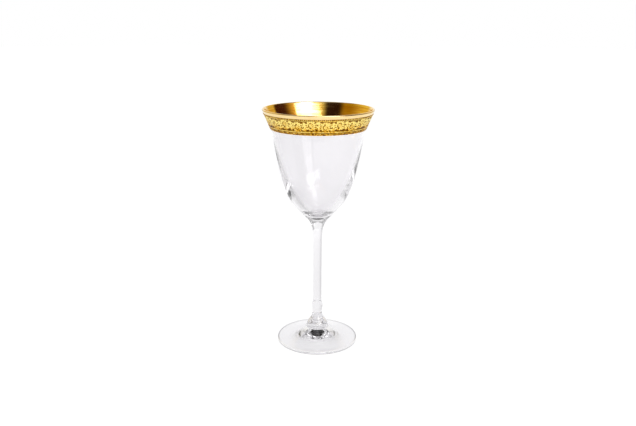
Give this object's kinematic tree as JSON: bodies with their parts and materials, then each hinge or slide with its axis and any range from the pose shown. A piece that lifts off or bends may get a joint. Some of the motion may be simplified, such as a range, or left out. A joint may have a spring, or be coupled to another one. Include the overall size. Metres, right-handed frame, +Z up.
{
  "type": "red wine glass",
  "caption": "Stemmed crystal wine glass with a bell-shaped bowl, a flared gold-encrusted rim, a slender stem with a low knop and a spread foot, for serving red wine.",
  "frame": {"origin": "centre of the foot's base, on the surface that the glass stands on", "axes": "+Z up along the axis of the bowl and stem; X and Y are alike, since the glass is round"},
  "size_m": [0.0926, 0.0926, 0.2049],
  "materials": {
    "crystal": "clear, fire-polished and colourless",
    "burnished_gold": "burnished bright gold over smooth glass",
    "etched_gold": "gold over acid-etched relief, matt in the ground and burnished on the crests",
    "lining_gold": "bright gold brushed on in fine level strokes"
  },
  "bodies": {
    "root": {"foot": "crystal", "stem": "crystal", "bowl": "crystal", "lip_gilding": "burnished_gold", "bead_border": "etched_gold", "frieze_band": "etched_gold", "lower_border": "etched_gold", "inner_gilding": "lining_gold"}
  },
  "joints": []
}
